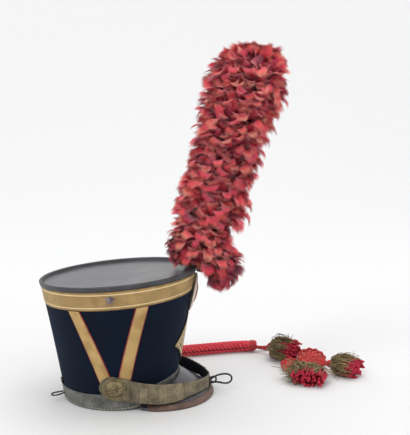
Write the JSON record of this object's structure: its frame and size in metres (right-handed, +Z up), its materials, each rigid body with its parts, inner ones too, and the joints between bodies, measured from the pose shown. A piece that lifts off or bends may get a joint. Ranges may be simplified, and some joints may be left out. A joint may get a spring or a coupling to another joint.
{
  "type": "shako hat",
  "caption": "Tall cloth shako with leather top and peak, gold lace and chevrons, chin scales, cockade, feather plume and a plaited cord with tassels.",
  "frame": {"origin": "on the table under the middle of the hat and its plume, without the cord", "axes": "+X towards the front of the hat, +Y towards the wearer's left, +Z up"},
  "size_m": [0.5881, 0.3736, 0.6015],
  "materials": {
    "felt": "matt wool cloth",
    "patent": "worn patent leather",
    "band_leather": "worn grained leather",
    "lace": "woven gold lace",
    "red_cloth": "matt wool cloth",
    "silver": "dull silver",
    "brown_leather": "polished leather",
    "old_brass": "tarnished brass",
    "pale_brass": "satin brass",
    "dark_lining": "dark cloth",
    "wire": "dark wire",
    "feather": "soft feathers",
    "braid": "plaited cotton cord",
    "bullion": "twisted fringe",
    "cockade_leather": "painted leather"
  },
  "bodies": {
    "root": {"crown_shell": "felt", "crown_top": "patent", "top_lace": "lace", "lower_band": "band_leather", "peak": "patent", "peak_binding": "brown_leather", "strap_hook": "wire", "strap_eye": "wire", "rear_loop": "wire", "rear_buckle": "wire", "plate_backing": "dark_lining", "front_plate": "pale_brass", "cockade": "cockade_leather", "plume_socket": "dark_lining", "plume_stem": "cockade_leather", "cord_hook": "old_brass", "plume": "feather", "shako_braid": "braid", "braid_knot": "braid", "cord_to_tassel": "braid", "cord_to_flat_knot": "braid", "tassel_back": "bullion", "tassel_front": "bullion", "tassel_right": "bullion", "flat_knot_upper": "braid", "flat_knot_lower": "braid", "star_right": "silver", "chin_scales_right": "old_brass", "chin_lining_right": "dark_lining", "boss_right": "old_brass", "chevron_back_right": "lace", "chevron_backing_back_right": "red_cloth", "chevron_front_right": "lace", "chevron_backing_front_right": "red_cloth", "star_left": "silver", "chin_scales_left": "old_brass", "chin_lining_left": "dark_lining", "boss_left": "old_brass", "chevron_back_left": "lace", "chevron_backing_back_left": "red_cloth", "chevron_front_left": "lace", "chevron_backing_front_left": "red_cloth"}
  },
  "joints": []
}
